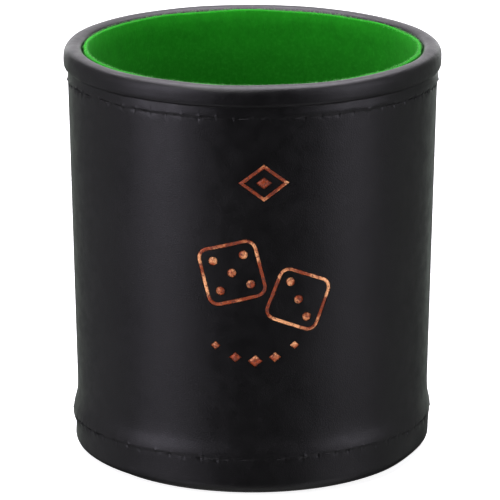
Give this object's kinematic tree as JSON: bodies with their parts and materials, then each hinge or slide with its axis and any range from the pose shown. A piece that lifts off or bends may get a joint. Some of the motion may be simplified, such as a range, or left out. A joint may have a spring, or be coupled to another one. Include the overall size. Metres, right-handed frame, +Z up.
{
  "type": "leather dice cup",
  "caption": "Tapered round cup in black leather over a rigid tube, with a corded rim, stitched hems, a green flannel lining and a flat glued base.",
  "frame": {"origin": "centre of the underside of the base cover, where the cup stands on the table", "axes": "+Z up along the cup's axis, -Y towards the stamped front, +Y towards the leather's butt joint"},
  "size_m": [0.0894, 0.0894, 0.0989],
  "materials": {
    "leather": "black coated leather, smooth fine grain, satin",
    "flannel": "green flannel, short brushed nap",
    "thread": "black twisted polyester sewing thread",
    "board": "raw grey wound paperboard",
    "cord": "dark closed-cell foam cord",
    "foil": "copper-coloured hot-stamped foil, slightly worn"
  },
  "bodies": {
    "root": {"wall_leather": "leather", "base_cover": "leather", "core_tube": "board", "core_floor": "board", "hem_band": "board", "base_levelling_card": "board", "rim_cord": "cord", "lining_wall": "flannel", "lining_floor": "flannel", "lining_floor_card": "board", "top_needle_thread": "thread", "top_bobbin_thread": "thread", "bottom_needle_thread": "thread", "bottom_bobbin_thread": "thread"}
  },
  "joints": []
}
